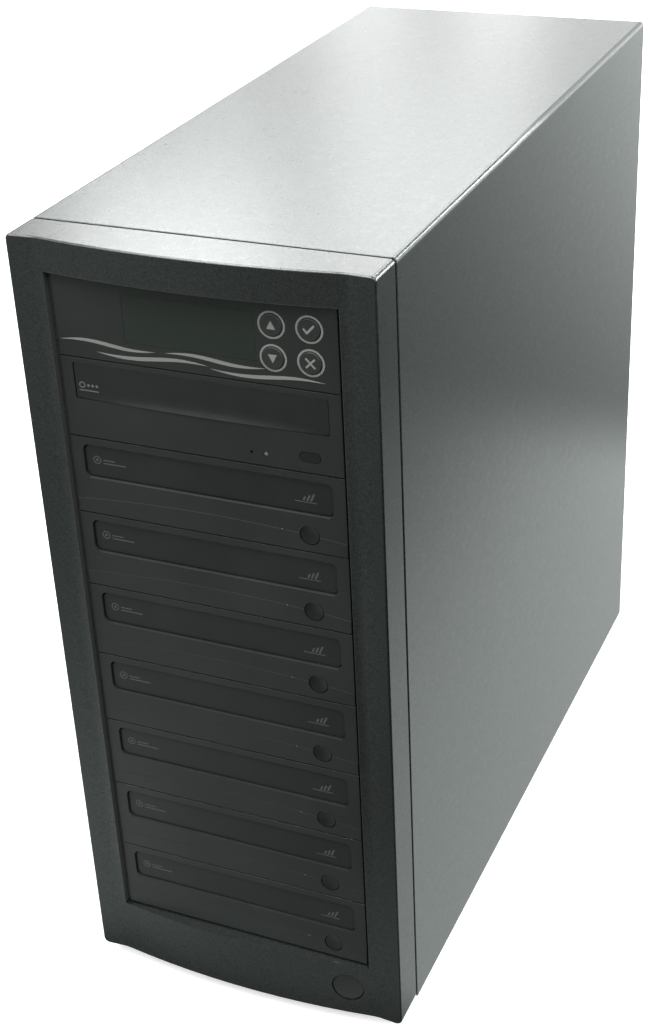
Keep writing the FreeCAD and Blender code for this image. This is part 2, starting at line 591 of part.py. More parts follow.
def make_mechanism(z):
    zf = z + DRIVE_LIFT + 0.8
    parts = [box(-71.6, 71.6, -14.6, 153.4, zf, zf + 2)]
    for s in (-1, 1):
        a, b = sorted((s * 60.0, s * 71.6))
        rail = box(a, b, -12, 150, zf + 1, z + 35.5)
        a2, b2 = sorted((s * 59.0, s * (TRAY_X + 0.5)))
        rail = rail.cut(box(a2, b2, -20, 160, z + TRAY_Z0 - 0.2, z + TRAY_Z1 + 0.3))
        a3, b3 = sorted((s * 59.0, s * 62.0))
        rail = rail.cut(box(a3, b3, -20, 160, z + TRAY_Z1, z + 40))
        parts.append(rail)
    parts += [cyl_z(0, DISC_Y, 14, zf + 1, z + 12), cyl_z(0, DISC_Y, 8.5, z + 11, z + 20),
              cyl_z(0, DISC_Y, 7.2, z + 19, z + 23.6),
              box(-20, 20, 72, 98, z + 7, z + 16), cyl_z(0, 78, 3.4, z + 15, z + 18),
              cyl_y(-26, z + 9, 1.5, 46, 140), cyl_y(26, z + 9, 1.5, 46, 140),
              box(-30, 30, 42, 47, zf + 1, z + 12), box(-30, 30, 137, 142, zf + 1, z + 12),
              box(-28, 28, 80, 90, z + 7.5, z + 10.5),
              box(-60, 60, 132, 152, zf + 1.5, z + 5.2),
              box(-52, -40, 146, FACE_BACK + DRIVE_L + 1.4, z + 5.0, z + 11.8),
              box(26, 50, 146, FACE_BACK + DRIVE_L + 1.4, z + 5.0, z + 11.8),
              box(50.0, 57.0, -14.4, -11.0, zf + 1, z + 12.5)]
    return fuse(parts[0], *parts[1:])


def make_eject(z, reader):
    if reader:
        b = rrect_y(50.75, 61.25, z + 5.95, z + 10.85, 2.44, FACE_Y - 0.1, FACE_Y + 4.0)
        b = b.fuse(rrect_y(49.6, 62.4, z + 4.9, z + 11.9, 3.0, FACE_Y + FACE_WALL + 0.1, FACE_Y + 4.0))
        return b.fuse(cyl_y(54.5, z + 8.4, 1.5, FACE_Y + 3, -15.6)).removeSplitter()
    y = FACE_Y - APRON + EJECT_SINK
    b = cyl_y(EJECT_X, z + EJECT_Z, EJECT_R, y, FACE_Y + 4.0)
    b = b.makeFillet(0.4, edges_where(b, lambda e: near(e.BoundBox.YMax, y)))
    b = b.cut(Part.makeSphere(EJECT_DISH_R, V(EJECT_X, y - EJECT_DISH_R + EJECT_DISH, z + EJECT_Z)))
    b = b.fuse(cyl_y(EJECT_X, z + EJECT_Z, EJECT_R + 0.9, FACE_Y + FACE_WALL + 0.1, FACE_Y + 4.0))
    return b.fuse(cyl_y(EJECT_X, z + EJECT_Z, 1.5, FACE_Y + 3, -15.6)).removeSplitter()


def make_drives():
    mechs = []
    for k in range(1, N_BAYS):
        z = bay_z(k)
        reader = k == 1
        name = "reader" if reader else "writer%d" % (k - 1)
        write(name + "_faceplate", make_drive_face(z, reader))
        write(name + "_tray", make_tray(z, reader))
        write(name + "_eject_button", make_eject(z, reader))
        write(name + "_case", make_case(z))
        mechs.append(make_mechanism(z))
    write("drive_mechanisms", Part.makeCompound(mechs))


def make_drive_screws():
    out = []
    for k in range(N_BAYS):
        z = bay_z(k) + DRIVE_LIFT + SCREW_Z
        for y in SCREW_Y:
            for s in (-1, 1):
                head = Part.makeCone(2.8, 2.2, 1.8, V(s * (CAGE_IN + SHEET), y, z), V(s, 0, 0))
                a, b = sorted((s * 71.8, s * (CAGE_IN + SHEET + 0.2)))
                sc = head.fuse(cyl_x(y, z, 1.25, a, b))
                for ang in (0, 90):
                    a, b = sorted((s * (CAGE_IN + SHEET + 1.0), s * (CAGE_IN + SHEET + 3)))
                    slot = box(a, b, y - 1.6, y + 1.6, z - 0.35, z + 0.35)
                    slot.rotate(V(0, y, z), V(1, 0, 0), ang)
                    sc = sc.cut(slot)
                out.append(sc.removeSplitter())
    return Part.makeCompound(out)


# =============================================================================
# power button and its switch
# =============================================================================
def make_power():
    # the cap follows the bow of the chin, a little below its surface, with a shallow dish
    d = POWER_SINK
    b = cyl_y(POWER_X, POWER_Z, POWER_R, -32, -13.6)
    b = b.common(bow_solid(RAIL_Y_OUT + d, RAIL_Y_IN + d, Y_FRONT + d, HALF, RAIL_X, 0.0, 0.0, 60.0))
    b = b.makeFillet(0.6, edges_where(b, lambda e: e.BoundBox.YMax < -20.0 and e.BoundBox.ZLength > 5.0 and e.BoundBox.XLength > 5.0))
    bow_r = (RAIL_X ** 2 + (RAIL_Y_IN - Y_FRONT) ** 2) / (2 * (RAIL_Y_IN - Y_FRONT))
    tilt = math.asin(POWER_X / bow_r)
    y_cap = Y_FRONT + d + bow_r * (1 - math.cos(tilt))
    out = POWER_DISH_R - POWER_DISH
    b = b.cut(Part.makeSphere(POWER_DISH_R, V(POWER_X + out * math.sin(tilt), y_cap - out * math.cos(tilt), POWER_Z)))
    # two wings that stop it behind the guide tube
    b = b.fuse(cyl_y(POWER_X, POWER_Z, 3.0, -14.0, -8.2))
    b = b.fuse(box(POWER_X - 10.6, POWER_X + 10.6, -10.6, -9.2, POWER_Z - 3, POWER_Z + 3))
    write("power_button", b.removeSplitter())
    sw = fuse(box(POWER_X - 10, POWER_X + 10, -4.4, 0.0, POWER_Z - 6, POWER_Z + 6),
              cyl_y(POWER_X, POWER_Z, 2.2, -5.0, -4.0))
    write("power_switch", sw)


# =============================================================================
# power supply, fans
# =============================================================================
def fan_frame(cx, cz, y1):
    """Square fan housing; the motor plate is on the side away from the grille."""
    y0 = y1 - FAN_T
    h = FAN / 2
    f = rrect_y(cx - h, cx + h, cz - h, cz + h, 4.0, y0, y1)
    f = f.cut(cyl_y(cx, cz, 38.2, y0 - 1, y1 + 1))
    parts = [cyl_y(cx, cz, 17.0, y0, y0 + 3.0), cyl_y(cx, cz, 5.0, y0 + 2.0, y0 + 15.0)]
    for a in (0, 90, 180, 270):
        s = box(cx + 15, cx + 39.2, y0, y0 + 3.0, cz - 2.0, cz + 2.0)
        s.rotate(V(cx, 0, cz), V(0, 1, 0), a + 20)
        parts.append(s)
    f = fuse(f, *parts)
    f = f.cut(cyl_y(cx, cz, 1.55, y0 + 1.0, y1 + 1))
    holes = [cyl_y(cx + a * FAN_HOLE, cz + b * FAN_HOLE, 1.9, y0 - 1, y1 + 1) for a in (-1, 1) for b in (-1, 1)]
    return cut_all(f, holes)


def fan_impeller(cx, cz, y1):
    """Hub cup that turns on the housing's post, with seven pitched blades."""
    y0 = y1 - FAN_T
    hub = cyl_y(cx, cz, 16.0, y0 + 4.0, y1 - 1.5)
    hub = hub.cut(cyl_y(cx, cz, 14.4, y0 + 3.0, y1 - 3.5))
    shaft = cyl_y(cx, cz, 1.5, y0 + 1.4, y1 - 2.5)
    blades = []
    for i in range(7):
        b = Part.makeBox(23.0, 1.6, 22.0, V(15.0, -0.8, -11.0))
        b.rotate(V(0, 0, 0), V(1, 0, 0), 38.0)
        m = FreeCAD.Matrix(1, 0, 0, 0, 0, 0, 1, 0, 0, -1, 0, 0, 0, 0, 0, 1)
        b = b.transformGeometry(m)
        b.rotate(V(0, 0, 0), V(0, 1, 0), i * 360.0 / 7 + 11.0)
        b.translate(V(cx, y0 + 14.0, cz))
        blades.append(b)
    ring = cyl_y(cx, cz, 37.0, y0 + 4.0, y1 - 1.5).cut(cyl_y(cx, cz, 15.2, y0, y1 + 1))
    blades = [b.common(ring) for b in blades]
    return fuse(hub, shaft, *blades)


def make_psu():
    x = PSU_W / 2
    c = box(-x, x, PSU_Y0, REAR_IN, PSU_Z0, PSU_Z0 + PSU_H)
    c = c.cut(box(-x + 0.8, x - 0.8, PSU_Y0 + 0.8, REAR_IN - 0.8, PSU_Z0 + 0.8, PSU_Z0 + PSU_H - 0.8))
    tools = [grille(PSU_FAN[0], PSU_FAN[1], 37.0, REAR_IN - 2, REAR_IN + 1),
             box(MOD_X0 + 2, MOD_X1 - 2, REAR_IN - 2, REAR_IN + 1, MOD_Z0 + 2, MOD_Z1 - 2)]
    tools += [cyl_y(sx, sz, 1.6, REAR_IN - 2, REAR_IN + 1) for sx, sz in PSU_SCREWS]
    for i in range(11):
        xx = -62 + i * 12
        tools.append(box(xx, xx + 5, PSU_Y0 - 1, PSU_Y0 + 2, PSU_Z0 + 30, PSU_Z0 + 72))
    tools.append(cyl_y(50, PSU_Z0 + 16, 7.0, PSU_Y0 - 1, PSU_Y0 + 2))
    write("psu_case", cut_all(c, tools))
    write("psu_fan_frame", fan_frame(PSU_FAN[0], PSU_FAN[1], REAR_IN - 0.8))
    write("psu_fan_impeller", fan_impeller(PSU_FAN[0], PSU_FAN[1], REAR_IN - 0.8))
    write("rear_fan_frame", fan_frame(CASE_FAN[0], CASE_FAN[1], REAR_IN))
    write("rear_fan_impeller", fan_impeller(CASE_FAN[0], CASE_FAN[1], REAR_IN))

    # three-pin inlet moulded together with the switch housing
    y1 = REAR_OUT + 1.6
    m = fuse(rrect_y(MOD_X0, MOD_X1, MOD_Z0, MOD_Z1, 2.0, REAR_IN, y1),
             box(MOD_X0 + 2.2, MOD_X1 - 2.2, REAR_IN - 20, REAR_IN, MOD_Z0 + 2.2, MOD_Z1 - 2.2))
    sx, sz = SOCKET_X, SOCKET_Z
    hollow = [(sx - 12.1, sz + 8.2), (sx + 12.1, sz + 8.2), (sx + 12.1, sz - 4.2), (sx + 8.1, sz - 8.2),
              (sx - 8.1, sz - 8.2), (sx - 12.1, sz - 4.2)]
    m = m.cut(prism_y(hollow, y1 - 17.0, y1 + 1))
    pins = [box(sx - 8.0, sx - 6.0, y1 - 18.0, y1 - 3.0, sz - 1.8, sz + 2.2),
            box(sx + 6.0, sx + 8.0, y1 - 18.0, y1 - 3.0, sz - 1.8, sz + 2.2),
            box(sx - 1.0, sx + 1.0, y1 - 18.0, y1 - 2.0, sz - 6.2, sz - 2.2)]
    # rocker well with pivot seats
    m = m.cut(box(ROCK_X - 5.2, ROCK_X + 5.2, y1 - 13.0, y1 + 1, ROCK_Z - 8.4, ROCK_Z + 8.4))
    m = m.cut(cyl_x(ROCK_Y, ROCK_Z, 1.06, ROCK_X - 6.3, ROCK_X + 6.3))
    # terminal blades behind the housing
    tabs = [box(sx - 8.0, sx - 5.0, REAR_IN - 28, REAR_IN - 19.5, sz - 0.4, sz + 0.4),
            box(sx + 5.0, sx + 8.0, REAR_IN - 28, REAR_IN - 19.5, sz - 0.4, sz + 0.4)]
    write("psu_inlet", fuse(m, *(pins + tabs)))

    # rocker: two flats meeting over the pivot, drawn in its off position
    w = 5.0
    prof = [(ROCK_Y - 4.0, ROCK_Z - 4.5), (ROCK_Y + 3.2, ROCK_Z - 7.6), (ROCK_Y + 5.0, ROCK_Z - 7.6),
            (ROCK_Y + 3.9, ROCK_Z), (ROCK_Y + 5.0, ROCK_Z + 7.6), (ROCK_Y + 3.2, ROCK_Z + 7.6), (ROCK_Y - 4.0, ROCK_Z + 4.5)]
    r = prism_x(prof, ROCK_X - w, ROCK_X + w)
    r = r.fuse(cyl_x(ROCK_Y, ROCK_Z, 1.0, ROCK_X - 6.1, ROCK_X + 6.1)).removeSplitter()
    r.rotate(V(ROCK_X, ROCK_Y, ROCK_Z), V(1, 0, 0), -ROCK_TILT)
    write("psu_rocker", r)


def make_rear_screws():
    out = []
    def screw(x, z, y_head, y_tip):
        s = cyl_y(x, z, 3.6, y_head, y_head + HEAD)
        s = s.makeFillet(0.7, edges_where(s, lambda e: near(e.BoundBox.YMin, y_head + HEAD)))
        s = s.fuse(cyl_y(x, z, 1.55, y_tip, y_head + 0.2))
        for ang in (0, 90):
            b = box(x - 2.0, x + 2.0, y_head + HEAD - 1.1, y_head + HEAD + 1, z - 0.45, z + 0.45)
            b.rotate(V(x, 0, z), V(0, 1, 0), ang + 30)
            s = s.cut(b)
        out.append(s.removeSplitter())
    for x, z in COVER_SCREWS:
        screw(x, z, COVER_D, REAR_IN - 3.0)
    for x, z in PSU_SCREWS:
        screw(x, z, REAR_OUT, REAR_IN - 4.0)
    for a in (-1, 1):
        for b in (-1, 1):
            screw(CASE_FAN[0] + a * FAN_HOLE, CASE_FAN[1] + b * FAN_HOLE, REAR_OUT, REAR_IN - 6.0)
    return Part.makeCompound(out)


# =============================================================================
# wiring
# =============================================================================
def route(points, r):
    """Round cable along straight runs with ball corners."""
    segs = []
    for p, q in zip(points[:-1], points[1:]):
        a, b = V(*p), V(*q)
        d = b.sub(a)
        segs.append(Part.makeCylinder(r, d.Length, a, d))
    balls = [Part.makeSphere(r, V(*p)) for p in points[1:-1]]
    return segs[0].multiFuse(segs[1:] + balls).removeSplitter()


def make_cables():
    y_drive = FACE_BACK + DRIVE_L + 1.5
    y_port = 112.1
    z_port = bay_z(0) + 8 + 1.6 + 3.5
    out = []
    for k in range(1, N_BAYS):
        z = bay_z(k) + 8.4
        depth = 168.0 + 5.0 * k
        xp = -52 + 14 * (k - 1)
        pts = [(-46.0, y_drive, z), (-46.0, depth, z), (-46.0, depth, z_port)]
        if abs(xp + 46.0) > 0.5:
            pts.append((xp, depth, z_port))
        pts.append((xp, y_port, z_port))
        out.append(route(pts, 1.7))
    # power harness: one trunk down from the supply with a branch to every drive
    zt = PSU_Z0 + 16
    trunk = route([(50.0, PSU_Y0 - 0.1, zt), (50.0, 225.0, zt), (38.0, 225.0, zt), (38.0, 225.0, bay_z(8) + 8.4),
                   (38.0, y_drive, bay_z(8) + 8.4)], 3.0)
    branches = []
    for k in range(1, N_BAYS - 1):
        z = bay_z(k) + 8.4
        branches.append(Part.makeCylinder(2.4, 225.0 - y_drive, V(38.0, y_drive, z), V(0, 1, 0)))
    out.append(trunk.multiFuse(branches).removeSplitter())
    return Part.makeCompound(out)


os.makedirs("parts", exist_ok=True)
write("front_bezel", make_bezel())
write("cover_wrap", make_cover())
write("base_pan", make_base_pan())
write("rear_panel", make_rear_panel())
write("bay_frame", make_bay_frame())
write("feet", make_feet())
make_controller()
make_drives()
write("drive_screws", make_drive_screws())
make_power()
make_psu()
write("rear_screws", make_rear_screws())
write("cable_loom", make_cables())
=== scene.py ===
import bpy
import bmesh
import math
import random
from mathutils import Matrix, Vector


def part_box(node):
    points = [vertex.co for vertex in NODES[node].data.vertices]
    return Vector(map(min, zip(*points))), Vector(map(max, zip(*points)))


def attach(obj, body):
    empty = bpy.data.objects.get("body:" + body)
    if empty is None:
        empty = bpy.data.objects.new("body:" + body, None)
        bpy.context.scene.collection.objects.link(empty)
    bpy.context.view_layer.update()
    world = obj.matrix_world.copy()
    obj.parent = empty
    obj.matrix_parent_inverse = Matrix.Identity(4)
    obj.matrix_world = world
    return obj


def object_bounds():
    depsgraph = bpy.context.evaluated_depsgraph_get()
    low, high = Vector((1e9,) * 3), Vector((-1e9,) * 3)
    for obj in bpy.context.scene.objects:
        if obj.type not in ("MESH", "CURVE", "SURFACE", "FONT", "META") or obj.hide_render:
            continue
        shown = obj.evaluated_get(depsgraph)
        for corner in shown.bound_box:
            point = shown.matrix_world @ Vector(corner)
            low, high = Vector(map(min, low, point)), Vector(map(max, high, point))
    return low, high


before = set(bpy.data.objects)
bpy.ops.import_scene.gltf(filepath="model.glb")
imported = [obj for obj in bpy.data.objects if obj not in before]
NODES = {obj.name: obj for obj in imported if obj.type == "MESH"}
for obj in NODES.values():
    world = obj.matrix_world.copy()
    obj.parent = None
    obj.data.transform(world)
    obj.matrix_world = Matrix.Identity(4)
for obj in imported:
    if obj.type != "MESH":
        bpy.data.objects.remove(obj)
CAD_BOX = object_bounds()
random.seed(7)

DRIVES = ["reader"] + ["writer%d" % i for i in range(1, 8)]
FLAT_BOTTOM = min(CAD_BOX[0][2], CAD_BOX[1][2])


# =============================================================================
# node helpers
# =============================================================================
class Mat:
    """Small builder for node materials in object space, in metres."""

    def __init__(self, name):
        self.m = bpy.data.materials.new(name)
        self.m.use_nodes = True
        self.t = self.m.node_tree
        self.t.nodes.clear()
        self.out = self.t.nodes.new("ShaderNodeOutputMaterial")
        self.b = self.t.nodes.new("ShaderNodeBsdfPrincipled")
        self.t.links.new(self.b.outputs[0], self.out.inputs[0])
        self.tc = self.t.nodes.new("ShaderNodeTexCoord")

    def link(self, a, b):
        self.t.links.new(a, b)

    def noise(self, scale, detail=2.0, rough=0.5, stretch=None, distortion=0.0):
        n = self.t.nodes.new("ShaderNodeTexNoise")
        n.inputs["Scale"].default_value = scale
        n.inputs["Detail"].default_value = detail
        n.inputs["Roughness"].default_value = rough
        n.inputs["Distortion"].default_value = distortion
        if stretch:
            mp = self.t.nodes.new("ShaderNodeMapping")
            mp.inputs["Scale"].default_value = stretch
            self.link(self.tc.outputs["Object"], mp.inputs["Vector"])
            self.link(mp.outputs["Vector"], n.inputs["Vector"])
        else:
            self.link(self.tc.outputs["Object"], n.inputs["Vector"])
        return n.outputs["Fac"]

    def voronoi(self, scale, feature="F1", random_=1.0):
        n = self.t.nodes.new("ShaderNodeTexVoronoi")
        n.feature = feature
        n.inputs["Scale"].default_value = scale
        n.inputs["Randomness"].default_value = random_
        self.link(self.tc.outputs["Object"], n.inputs["Vector"])
        return n

    def ramp(self, src, stops):
        r = self.t.nodes.new("ShaderNodeValToRGB")
        e = r.color_ramp.elements
        while len(e) < len(stops):
            e.new(0.5)
        for el, (p, c) in zip(e, stops):
            el.position = p
            el.color = (c, c, c, 1) if isinstance(c, (int, float)) else (*c, 1)
        self.link(src, r.inputs["Fac"])
        return r.outputs["Color"]

    def math(self, op, a, b=None, c=None):
        n = self.t.nodes.new("ShaderNodeMath")
        n.operation = op
        for i, v in enumerate((a, b, c)):
            if v is None:
                continue
            if isinstance(v, (int, float)):
                n.inputs[i].default_value = v
            else:
                self.link(v, n.inputs[i])
        return n.outputs[0]

    def mix(self, fac, a, b, mode="MIX"):
        n = self.t.nodes.new("ShaderNodeMix")
        n.data_type = "RGBA"
        n.blend_type = mode
        if isinstance(fac, (int, float)):
            n.inputs["Factor"].default_value = fac
        else:
            self.link(fac, n.inputs["Factor"])
        for key, v in ((6, a), (7, b)):
            if isinstance(v, tuple):
                n.inputs[key].default_value = (*v, 1) if len(v) == 3 else v
            else:
                self.link(v, n.inputs[key])
        return n.outputs[2]

    def bump(self, height, strength, distance, normal=None):
        n = self.t.nodes.new("ShaderNodeBump")
        n.inputs["Strength"].default_value = strength
        n.inputs["Distance"].default_value = distance
        self.link(height, n.inputs["Height"])
        if normal is not None:
            self.link(normal, n.inputs["Normal"])
        return n.outputs["Normal"]

    def xyz(self):
        n = self.t.nodes.new("ShaderNodeSeparateXYZ")
        self.link(self.tc.outputs["Object"], n.inputs[0])
        return n.outputs[0], n.outputs[1], n.outputs[2]

    def between(self, v, lo, hi):
        a = self.math("GREATER_THAN", v, lo)
        b = self.math("LESS_THAN", v, hi)
        return self.math("MULTIPLY", a, b)

    def set(self, **kw):
        names = {"color": "Base Color", "metal": "Metallic", "rough": "Roughness", "ior": "IOR", "alpha": "Alpha",
                 "coat": "Coat Weight", "coat_rough": "Coat Roughness", "spec": "Specular IOR Level",
                 "trans": "Transmission Weight", "normal": "Normal", "emit": "Emission Color",
                 "emit_s": "Emission Strength", "sheen": "Sheen Weight", "tint": "Specular Tint"}
        for k, v in kw.items():
            s = self.b.inputs[names[k]]
            if isinstance(v, (int, float)):
                s.default_value = v
            elif isinstance(v, tuple):
                s.default_value = (*v, 1) if len(v) == 3 else v
            else:
                self.link(v, s)
        return self


def shade(c, k):
    return tuple(min(1.0, v * k) for v in c)


def fleck_paint(name, base, metal, rough, fleck=0.25, peel=0.25, spec=0.5, flank=None, bare=None, below=None, crease=None):
    """Sprayed metallic finish: even fine aluminium flake, faint broad mottling and
    slight orange peel. flank = (x, colour): beyond that distance from the middle the
    coat is multiplied by the colour, a painted shade and tint that darkens the upright
    sides, and its grain is coarser. below = (z, colour) tints it the same way under the top face.
    bare = (x, z0, z1, base): inside that opening the moulding is bare plastic.
    crease = (x, z, zl, y0, y1): along the right fold the coat is painted darker, a painted
    shade, and made rougher and less metallic from y0 to y1; its lower half, under zl, is so from the start."""
    m = Mat(name)
    grain = m.noise(1150.0, 3.0, 0.8)
    fine = m.noise(2600.0, 1.0, 0.5)
    broad = m.noise(7.0, 2.0, 0.5)
    mid = m.noise(240.0, 2.0, 0.5)
    g = m.ramp(grain, [(0.30, 0.0), (0.70, 1.0)])
    c = m.mix(g, shade(base, 1 - fleck), shade(base, 1 + fleck))
    c = m.mix(m.math("MULTIPLY", m.ramp(broad, [(0.3, 0.0), (0.7, 1.0)]), 0.12), c, shade(base, 1.35))
    # painted shade: beyond the flank distance the coat is multiplied by the flank colour, darkening and tinting the
    # upright sides, with coarser grain
    if flank:
        side = m.math("GREATER_THAN", m.math("ABSOLUTE", m.xyz()[0]), flank[0])
        side_grain_and_shade = m.ramp(m.noise(620.0, 2.0, 0.7), [(0.34, shade(flank[1], 0.72)), (0.66, shade(flank[1], 1.28))])
        c = m.mix(side, c, m.mix(1.0, c, side_grain_and_shade, "MULTIPLY"))
    if below:
        under = m.math("LESS_THAN", m.xyz()[2], below[0])
        c = m.mix(under, c, m.mix(1.0, c, below[1], "MULTIPLY"))
    r = m.math("ADD", m.math("MULTIPLY", mid, 0.06), rough - 0.03)
    r = m.math("ADD", r, m.math("MULTIPLY", m.math("SUBTRACT", grain, 0.5), 0.10))
    n = m.bump(mid, peel, 0.00005)
    n = m.bump(fine, 0.30, 0.00002, n)
    if flank:
        n = m.bump(m.math("MULTIPLY", side, m.noise(620.0, 2.0, 0.7)), 0.40, 0.00004, n)
    # painted shade: along the right fold the colour is darkened towards black, and the coat made rougher and less
    # metallic, so its highlight fades towards the rear
    if crease:
        x, y, z = m.xyz()
        fold = m.math("MULTIPLY", m.math("GREATER_THAN", x, crease[0]), m.math("GREATER_THAN", z, crease[1]))
        along = m.t.nodes.new("ShaderNodeMapRange")
        along.interpolation_type = "SMOOTHSTEP"
        along.inputs["From Min"].default_value, along.inputs["From Max"].default_value = crease[3:]
        m.link(y, along.inputs["Value"])
        lower = m.math("MULTIPLY", m.math("LESS_THAN", z, crease[2]), 0.8)
        fold = m.math("MULTIPLY", fold, m.math("MAXIMUM", along.outputs["Result"], lower))
        c = m.mix(m.math("MULTIPLY", fold, 0.3), c, (0.0, 0.0, 0.0))
        metal = m.math("MULTIPLY", m.math("SUBTRACT", 1.0, m.math("MULTIPLY", fold, 0.8)), metal)
        r = m.math("ADD", r, m.math("MULTIPLY", fold, 0.4))
    if bare:
        x, y, z = m.xyz()
        hole = m.math("MULTIPLY", m.between(x, -bare[0], bare[0]), m.between(z, bare[1], bare[2]))
        c = m.mix(hole, c, m.mix(g, shade(bare[3], 0.8), shade(bare[3], 1.2)))
        metal = m.math("MULTIPLY", m.math("SUBTRACT", 1.0, hole), metal)
    m.set(color=c, metal=metal, rough=r, normal=n, spec=spec)
    return m.m


def moulded(name, base, rough, texture=0.35, scale=1500.0, vary=0.25, spec=0.5, dust=0.0, shaded_edge_above=None,
            tint=(1.0, 1.0, 1.0)):
    """Moulded plastic with a spark-eroded grain and slight colour variation.
    Above the given height its edge is matt and painted darker, a painted shade."""
    m = Mat(name)
    grain = m.noise(scale, 2.0, 0.6)
    broad = m.noise(22.0, 3.0, 0.6)
    c = m.mix(m.ramp(broad, [(0.3, 0.0), (0.75, 1.0)]), shade(base, 1 - vary), shade(base, 1 + vary))
    c = m.mix(m.math("MULTIPLY", m.ramp(grain, [(0.4, 0.0), (0.62, 1.0)]), 0.35), c, shade(base, 1.6))
    if dust:
        specks = m.ramp(m.noise(420.0, 4.0, 0.7), [(0.66, 0.0), (0.74, 1.0)])
        c = m.mix(m.math("MULTIPLY", specks, dust), c, (0.30, 0.30, 0.28))
    r = m.math("ADD", m.math("MULTIPLY", m.noise(90.0, 3.0, 0.6), 0.14), rough - 0.07)
    n = m.bump(grain, texture, 0.00003)
    # painted shade: above that height the colour is darkened towards black and the edge made matt
    if shaded_edge_above:
        top = m.math("GREATER_THAN", m.xyz()[2], shaded_edge_above)
        c = m.mix(m.math("MULTIPLY", top, 0.7), c, (0.0, 0.0, 0.0))
        r = m.math("ADD", r, m.math("MULTIPLY", top, 0.5))
    m.set(color=c, rough=r, normal=n, spec=spec, tint=tint)
    return m.m


def sheet_steel(name, base=(0.27, 0.275, 0.28), rough=0.36):
    """Zinc-coated sheet: rolled grain along Z and faint spangle."""
    m = Mat(name)
    roll = m.noise(120.0, 4.0, 0.6, stretch=(6.0, 6.0, 0.35))
    span = m.voronoi(70.0).outputs["Color"]
    c = m.mix(m.ramp(roll, [(0.3, 0.0), (0.7, 1.0)]), shade(base, 0.82), shade(base, 1.15))
    c = m.mix(0.45, c, m.ramp(span, [(0.2, 0.38), (0.8, 0.62)]), "OVERLAY")
    r = m.math("ADD", m.math("MULTIPLY", roll, 0.22), rough - 0.08)
    n = m.bump(roll, 0.15, 0.00003)
    m.set(color=c, metal=1.0, rough=r, normal=n)
    return m.m


# =============================================================================
# mesh helpers
# =============================================================================
def new_object(name, bm, mat, smooth=True, angle=0.6):
    me = bpy.data.meshes.new(name)
    bm.normal_update()
    bm.to_mesh(me)
    bm.free()
    o = bpy.data.objects.new(name, me)
    bpy.context.collection.objects.link(o)
    me.materials.append(mat)
    if smooth:
        for p in me.polygons:
            p.use_smooth = True
        me.set_sharp_from_angle(angle=angle)
    return o


def plate_from_loops(bm, loops, y, t, lift=0.0):
    """Closed thin plate facing -Y. loops: an outer outline and holes, (x, z) pairs."""
    def ring(pts, yy):
        return [bm.verts.new((x, yy, z)) for x, z in pts]
    fronts, backs = [], []
    for pts in loops:
        fronts.append(ring(pts, y - t))
        backs.append(ring(pts, y + lift))
    for rings, flip in ((fronts, False), (backs, True)):
        edges = []
        for r in rings:
            for a, b in zip(r, r[1:] + r[:1]):
                edges.append(bm.edges.get((a, b)) or bm.edges.new((a, b)))
        bmesh.ops.triangle_fill(bm, use_beauty=True, use_dissolve=False, edges=edges)
    for f, b in zip(fronts, backs):
        for i in range(len(f)):
            j = (i + 1) % len(f)
            bm.faces.new((f[i], f[j], b[j], b[i]))
    bmesh.ops.recalc_face_normals(bm, faces=bm.faces[:])


def circle(cx, cz, r, n=48, rx=None):
    rx = rx or r
    return [(cx + rx * math.cos(2 * math.pi * i / n), cz + r * math.sin(2 * math.pi * i / n)) for i in range(n)]


# =============================================================================
# materials for the CAD nodes
# =============================================================================
# the flank colours paint shade and tint on the upright sides, and the crease paints shade along the cover's right
# fold
M_COVER = fleck_paint("cover_paint", (0.100, 0.109, 0.105), 0.9, 0.29, fleck=0.42, peel=0.16,
                      flank=(0.0924, (0.87, 0.98, 0.955)), crease=(0.0903, 0.4403, 0.44192, -0.05, 0.04))
M_BEZEL = fleck_paint("bezel_plastic", (0.097, 0.104, 0.100), 0.9, 0.29, fleck=0.42, peel=0.18,
                      flank=(0.0924, (0.50, 0.55, 0.54)), below=(0.4412, (0.96, 1.0, 0.98)),
                      bare=(0.0751, 0.0433, 0.4264, (0.050, 0.053, 0.051)))
DARK_TINT = (0.92, 0.98, 0.945)
M_FACE = moulded("drive_face_plastic", (0.0138, 0.0158, 0.0146), 0.40, dust=0.03, spec=0.7, tint=DARK_TINT)
M_TRAY = moulded("tray_plastic", (0.0110, 0.0128, 0.0118), 0.38, texture=0.25, spec=0.62, tint=DARK_TINT)
M_EJECT = moulded("eject_plastic", (0.012, 0.013, 0.013), 0.20, texture=0.05, vary=0.15)
M_KEY = moulded("key_plastic", (0.024, 0.026, 0.025), 0.42, texture=0.25)
M_POWER = moulded("power_button_plastic", (0.0235, 0.0250, 0.0243), 0.24, texture=0.08)
M_STEEL = sheet_steel("chassis_steel")
M_CASE = sheet_steel("drive_case_steel", (0.55, 0.55, 0.54), 0.36)
M_PSU = fleck_paint("supply_steel", (0.17, 0.175, 0.18), 0.8, 0.38, fleck=0.12, peel=0.1)
M_FAN = moulded("fan_plastic", (0.02, 0.02, 0.02), 0.38, texture=0.15)
M_MECH = moulded("mechanism_plastic", (0.05, 0.05, 0.05), 0.5)
M_FOOT = moulded("foot_rubber", (0.022, 0.022, 0.022), 0.7, texture=0.5)
M_SWITCH = moulded("switch_body", (0.04, 0.04, 0.04), 0.5)


def screw_mat():
    m = Mat("screw_steel")
    n = m.noise(800.0, 2.0, 0.6)
    c = m.mix(n, (0.50, 0.50, 0.49), (0.74, 0.74, 0.72))
    m.set(color=c, metal=1.0, rough=m.math("ADD", m.math("MULTIPLY", n, 0.2), 0.18), normal=m.bump(n, 0.1, 0.00002))
    return m.m


